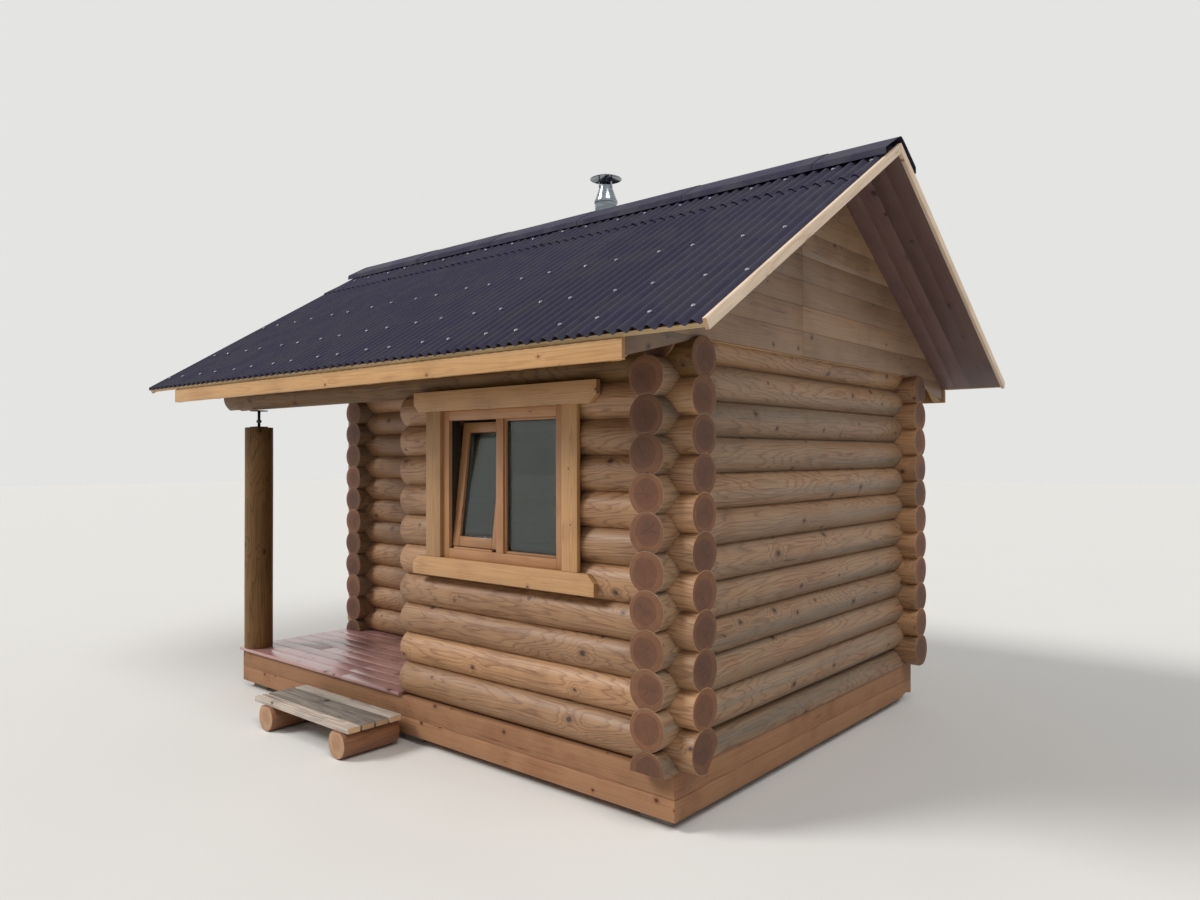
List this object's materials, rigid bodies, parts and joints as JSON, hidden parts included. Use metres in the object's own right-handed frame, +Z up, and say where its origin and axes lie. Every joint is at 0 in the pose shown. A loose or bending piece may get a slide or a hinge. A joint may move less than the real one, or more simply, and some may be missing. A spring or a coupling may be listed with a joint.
{
  "type": "log sauna",
  "caption": "Small round-log sauna with a corner porch, a tilted-sash window, a corrugated gable roof, a steel chimney and a loose log step.",
  "frame": {"origin": "on the ground under the middle of the base frame", "axes": "+X along the ridge towards the gable without the porch, +Y from the window wall to the back wall, +Z up"},
  "size_m": [5.274, 4.15, 4.1565],
  "materials": {
    "log_wood": "stained round pine log, satin",
    "base_wood": "stained planed pine beam, satin",
    "deck_wood": "red-brown decking oil, glossy",
    "sawn_wood": "sawn spruce, untreated",
    "trim_wood": "stained planed pine, satin",
    "window_wood": "stained joinery pine, satin",
    "cladding_wood": "stained planed boards, weathering",
    "soffit_board": "dark red-brown board, satin",
    "verge_wood": "planed pine, pale, untreated",
    "fascia_wood": "planed pine, yellow stain",
    "weathered_wood": "grey weathered boards",
    "roof_sheet": "corrugated bitumen sheet, plum brown, matt",
    "window_glass": "sealed double glazing, clear",
    "stainless_steel": "polished stainless sheet",
    "flashing": "dark painted sheet",
    "dark_steel": "dark plated steel",
    "concrete": "cast concrete, rough"
  },
  "bodies": {
    "root": {"foundation_blocks": "concrete", "lower_base_beams": "base_wood", "upper_base_beams": "base_wood", "floor_sleeper": "sawn_wood", "floor_joists": "sawn_wood", "room_floor": "sawn_wood", "porch_deck": "deck_wood", "front_wall_logs": "log_wood", "back_wall_logs": "log_wood", "porch_back_wall_logs": "log_wood", "door_sill_log": "log_wood", "door_head_log": "log_wood", "right_wall_logs": "log_wood", "left_wall_logs": "log_wood", "porch_side_wall_logs": "log_wood", "front_plate_log": "log_wood", "rafter_plate_logs": "log_wood", "gable_tie_logs": "log_wood", "porch_post": "log_wood", "post_jack": "dark_steel", "window_frame": "window_wood", "window_sash": "window_wood", "window_panes": "window_glass", "sash_hinges": "dark_steel", "window_casing": "trim_wood", "door_frame": "window_wood", "door_leaf": "trim_wood", "door_grip": "trim_wood", "door_casing": "trim_wood", "rafters": "sawn_wood", "roof_battens": "sawn_wood", "gable_frames": "sawn_wood", "right_gable_cladding": "cladding_wood", "left_gable_cladding": "cladding_wood", "gable_soffits": "soffit_board", "right_verge_boards": "verge_wood", "left_verge_boards": "verge_wood", "eave_fascias": "fascia_wood", "front_roof_sheets": "roof_sheet", "back_roof_sheets": "roof_sheet", "ridge_cap": "roof_sheet", "chimney_pipe": "stainless_steel", "chimney_cowl": "stainless_steel", "chimney_flashing": "flashing", "step_treads": "weathered_wood", "step_legs": "log_wood"}
  },
  "joints": []
}
